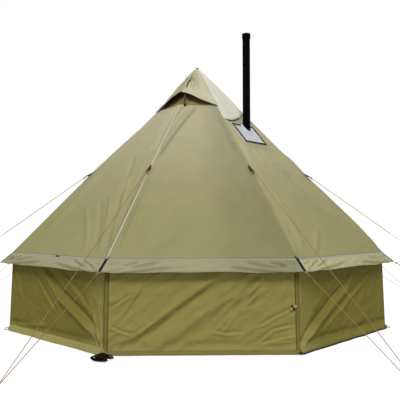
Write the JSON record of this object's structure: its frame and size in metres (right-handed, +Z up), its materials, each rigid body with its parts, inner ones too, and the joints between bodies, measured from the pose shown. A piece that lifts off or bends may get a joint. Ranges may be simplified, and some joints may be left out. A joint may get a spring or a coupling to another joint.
{
  "type": "hot tent",
  "caption": "Octagonal hot tent on a centre pole, with a propped vent hood, stove jack, wood stove and flue, lifting door and pegged guy ropes.",
  "frame": {"origin": "centre of the tent on the ground, under the centre pole", "axes": "+Z up; -Y is the front face that looks at the camera, and the door is in the +Y face; the flue stands on the +X side of the front"},
  "size_m": [6.0846, 6.0846, 3.042],
  "materials": {
    "roof_cloth": "matte",
    "wall_cloth": "matte",
    "skirt_cloth": "matte",
    "hood_cloth": "matte",
    "jack_cloth": "satin",
    "guy_rope": "matte",
    "black_webbing": "matte",
    "reflective_tape": "satin",
    "insect_mesh": "matte",
    "slider_plastic": "satin",
    "black_plastic": "satin",
    "foot_rubber": "matte",
    "pole_steel": "satin",
    "peg_steel": "satin",
    "fitting_steel": "satin",
    "flue_steel": "satin",
    "stove_steel": "matte"
  },
  "bodies": {
    "root": {"roof_panel_front": "roof_cloth", "roof_panel_front_right": "roof_cloth", "roof_panel_right": "roof_cloth", "roof_panel_back_right": "roof_cloth", "roof_panel_back": "roof_cloth", "roof_panel_back_left": "roof_cloth", "roof_panel_left": "roof_cloth", "roof_panel_front_left": "roof_cloth", "wall_panel_front": "wall_cloth", "wall_panel_front_right": "wall_cloth", "wall_panel_right": "wall_cloth", "wall_panel_back_right": "wall_cloth", "wall_panel_back": "wall_cloth", "wall_panel_back_left": "wall_cloth", "wall_panel_left": "wall_cloth", "wall_panel_front_left": "wall_cloth", "eave_skirt": "skirt_cloth", "peak_hood": "hood_cloth", "pole_foot": "foot_rubber", "pole_lower_section": "pole_steel", "pole_upper_section": "pole_steel", "guy_rope_1": "guy_rope", "guy_rope_2": "guy_rope", "guy_rope_3": "guy_rope", "guy_rope_4": "guy_rope", "guy_rope_5": "guy_rope", "guy_rope_6": "guy_rope", "guy_rope_7": "guy_rope", "guy_rope_8": "guy_rope", "guy_peg_1": "peg_steel", "guy_peg_2": "peg_steel", "guy_peg_3": "peg_steel", "guy_peg_4": "peg_steel", "guy_peg_5": "peg_steel", "guy_peg_6": "peg_steel", "guy_peg_7": "peg_steel", "guy_peg_8": "peg_steel", "stove_jack": "jack_cloth", "flue_lower_section": "flue_steel", "flue_upper_section": "flue_steel", "flue_cap": "flue_steel", "stove_body": "stove_steel"},
    "awning": {"vent_awning": "hood_cloth"},
    "prop": {"vent_prop": "black_plastic"},
    "door_upper": {"door_upper_leaf": "roof_cloth", "door_skirt": "skirt_cloth"},
    "door_lower": {"door_lower_leaf": "wall_cloth"},
    "zip_left": {"zip_pull_left": "black_plastic"},
    "zip_right": {"zip_pull_right": "black_plastic"},
    "slider_1": {"rope_slider_1": "slider_plastic"},
    "slider_2": {"rope_slider_2": "slider_plastic"},
    "slider_3": {"rope_slider_3": "slider_plastic"},
    "slider_4": {"rope_slider_4": "slider_plastic"},
    "slider_5": {"rope_slider_5": "slider_plastic"},
    "slider_6": {"rope_slider_6": "slider_plastic"},
    "slider_7": {"rope_slider_7": "slider_plastic"},
    "slider_8": {"rope_slider_8": "slider_plastic"},
    "damper": {"flue_damper": "fitting_steel"},
    "stove_door": {"stove_door": "stove_steel"},
    "latch": {"stove_latch": "fitting_steel"}
  },
  "joints": [
    {"name": "awning_tilt", "type": "hinge", "parent": "root", "child": "awning", "pos_m": [0, 0, 2.817], "axis": [0.9239, -0.3827, 0], "range_deg": [0, 6]},
    {"name": "prop_fold", "type": "hinge", "parent": "root", "child": "prop", "pos_m": [-0.142, -0.48047, 2.27808], "axis": [-1, 0, 0], "range_deg": [0, 17.5]},
    {"name": "door_lift", "type": "hinge", "parent": "root", "child": "door_upper", "pos_m": [0, 1.21136, 1.44955], "axis": [1, 0, 0], "range_deg": [0, 60]},
    {"name": "door_fold", "type": "hinge", "parent": "door_upper", "child": "door_lower", "pos_m": [0, 1.82628, 0.75056], "axis": [1, 0, 0], "range_deg": [-60, 40]},
    {"name": "zip_left_slide", "type": "slide", "parent": "root", "child": "zip_left", "axis": [0, -0.0286, 0.9996], "range_m": [0, 0.56]},
    {"name": "zip_right_slide", "type": "slide", "parent": "root", "child": "zip_right", "axis": [0, -0.0286, 0.9996], "range_m": [0, 0.56]},
    {"name": "slider_1_slide", "type": "slide", "parent": "root", "child": "slider_1", "axis": [0.3328, -0.8189, -0.4676], "range_m": [0, 0.45]},
    {"name": "slider_2_slide", "type": "slide", "parent": "root", "child": "slider_2", "axis": [0.8144, -0.3438, -0.4676], "range_m": [0, 0.45]},
    {"name": "slider_3_slide", "type": "slide", "parent": "root", "child": "slider_3", "axis": [0.8189, 0.3328, -0.4676], "range_m": [0, 0.45]},
    {"name": "slider_4_slide", "type": "slide", "parent": "root", "child": "slider_4", "axis": [0.3438, 0.8144, -0.4676], "range_m": [0, 0.45]},
    {"name": "slider_5_slide", "type": "slide", "parent": "root", "child": "slider_5", "axis": [-0.3328, 0.8189, -0.4676], "range_m": [0, 0.45]},
    {"name": "slider_6_slide", "type": "slide", "parent": "root", "child": "slider_6", "axis": [-0.8144, 0.3438, -0.4676], "range_m": [0, 0.45]},
    {"name": "slider_7_slide", "type": "slide", "parent": "root", "child": "slider_7", "axis": [-0.8189, -0.3328, -0.4676], "range_m": [0, 0.45]},
    {"name": "slider_8_slide", "type": "slide", "parent": "root", "child": "slider_8", "axis": [-0.3438, -0.8144, -0.4676], "range_m": [0, 0.45]},
    {"name": "damper_turn", "type": "hinge", "parent": "root", "child": "damper", "pos_m": [0.50592, -0.50592, 0.7], "axis": [0, 1, 0], "range_deg": [0, 90]},
    {"name": "stove_door_swing", "type": "hinge", "parent": "root", "child": "stove_door", "pos_m": [0.61792, -0.17962, 0.32], "axis": [0, 0, -1], "range_deg": [0, 110]},
    {"name": "latch_turn", "type": "hinge", "parent": "stove_door", "child": "latch", "pos_m": [0.42892, -0.18132, 0.32], "axis": [0, 1, 0], "range_deg": [0, 90]}
  ],
  "couplings": [
    {"joint": "prop_fold", "follows": "awning_tilt", "ratio": 2.9167}
  ]
}
